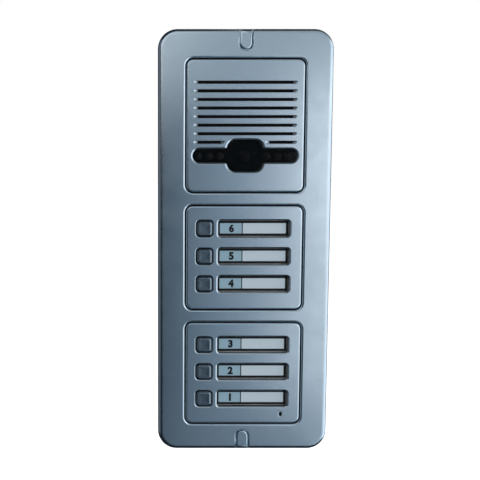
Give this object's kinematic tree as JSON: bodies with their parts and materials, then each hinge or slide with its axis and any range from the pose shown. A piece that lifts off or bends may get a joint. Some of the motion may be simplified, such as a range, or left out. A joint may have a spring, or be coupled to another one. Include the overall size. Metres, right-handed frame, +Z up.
{
  "type": "door intercom panel",
  "caption": "Wall-mounted video door intercom panel: a tall metal bezel with a slotted speaker plate, a smoked camera window, call buttons with name windows and a back box.",
  "frame": {"origin": "centre of the back face of the back box, on the wall plane", "axes": "+X to the right seen from the front, +Y into the wall, +Z up; the panel faces -Y"},
  "size_m": [0.125, 0.0428, 0.3064],
  "materials": {
    "cast_metal": "satin silver-blue lacquer over die-cast metal",
    "key_metal": "satin dark slate",
    "smoked_acrylic": "polished, smoked nearly black",
    "clear_acrylic": "clear moulded cover, polished",
    "card": "printed card, matt",
    "light_guide": "milky diffuser",
    "black_plastic": "fine moulded grain",
    "circuit_board": "solder-masked laminate",
    "terminal_plastic": "moulded",
    "rubber": "matt black",
    "cloth": "fine black acoustic cloth",
    "paper_cone": "pressed cone paper",
    "steel": "zinc-plated",
    "magnet": "ferrite, grey",
    "lens_glass": "coated optical glass",
    "lamp_resin": "dark tinted resin"
  },
  "bodies": {
    "panel": {"back_box": "black_plastic", "bottom_fixing_screw": "steel", "box_seal": "rubber", "button_switch_1": "black_plastic", "button_switch_2": "black_plastic", "button_switch_3": "black_plastic", "button_switch_4": "black_plastic", "button_switch_5": "black_plastic", "button_switch_6": "black_plastic", "camera_barrel": "black_plastic", "camera_board": "circuit_board", "camera_lens": "lens_glass", "camera_window": "smoked_acrylic", "front_bezel": "cast_metal", "ir_lamp_1": "lamp_resin", "ir_lamp_2": "lamp_resin", "ir_lamp_3": "lamp_resin", "ir_lamp_4": "lamp_resin", "ir_lamp_5": "lamp_resin", "ir_lamp_6": "lamp_resin", "lower_button_board": "circuit_board", "lower_button_carrier": "black_plastic", "lower_button_plate": "cast_metal", "lower_light_guide": "light_guide", "main_board": "circuit_board", "microphone": "steel", "microphone_boot": "rubber", "name_card_1": "card", "name_card_2": "card", "name_card_3": "card", "name_card_4": "card", "name_card_5": "card", "name_card_6": "card", "name_cover_1": "clear_acrylic", "name_cover_2": "clear_acrylic", "name_cover_3": "clear_acrylic", "name_cover_4": "clear_acrylic", "name_cover_5": "clear_acrylic", "name_cover_6": "clear_acrylic", "speaker_basket": "steel", "speaker_camera_carrier": "black_plastic", "speaker_camera_plate": "cast_metal", "speaker_cloth": "cloth", "speaker_cone": "paper_cone", "speaker_gasket": "rubber", "speaker_magnet": "magnet", "terminal_block": "terminal_plastic", "top_fixing_screw": "steel", "upper_button_board": "circuit_board", "upper_button_carrier": "black_plastic", "upper_button_plate": "cast_metal", "upper_light_guide": "light_guide"},
    "call_button_1": {"call_button_1": "key_metal"},
    "call_button_2": {"call_button_2": "key_metal"},
    "call_button_3": {"call_button_3": "key_metal"},
    "call_button_4": {"call_button_4": "key_metal"},
    "call_button_5": {"call_button_5": "key_metal"},
    "call_button_6": {"call_button_6": "key_metal"},
    "top_cover": {"top_screw_cover": "cast_metal"},
    "bottom_cover": {"bottom_screw_cover": "cast_metal"}
  },
  "joints": [
    {"name": "press_1", "type": "slide", "parent": "panel", "child": "call_button_1", "axis": [0, 1, 0], "range_m": [0, 0.0012], "stiffness_N_per_m": 1500, "springref_m": -0.001},
    {"name": "press_2", "type": "slide", "parent": "panel", "child": "call_button_2", "axis": [0, 1, 0], "range_m": [0, 0.0012], "stiffness_N_per_m": 1500, "springref_m": -0.001},
    {"name": "press_3", "type": "slide", "parent": "panel", "child": "call_button_3", "axis": [0, 1, 0], "range_m": [0, 0.0012], "stiffness_N_per_m": 1500, "springref_m": -0.001},
    {"name": "press_4", "type": "slide", "parent": "panel", "child": "call_button_4", "axis": [0, 1, 0], "range_m": [0, 0.0012], "stiffness_N_per_m": 1500, "springref_m": -0.001},
    {"name": "press_5", "type": "slide", "parent": "panel", "child": "call_button_5", "axis": [0, 1, 0], "range_m": [0, 0.0012], "stiffness_N_per_m": 1500, "springref_m": -0.001},
    {"name": "press_6", "type": "slide", "parent": "panel", "child": "call_button_6", "axis": [0, 1, 0], "range_m": [0, 0.0012], "stiffness_N_per_m": 1500, "springref_m": -0.001},
    {"name": "top_cover_slide", "type": "slide", "parent": "panel", "child": "top_cover", "axis": [0, 0, 1], "range_m": [0, 0.016]},
    {"name": "bottom_cover_slide", "type": "slide", "parent": "panel", "child": "bottom_cover", "axis": [0, 0, -1], "range_m": [0, 0.016]}
  ]
}
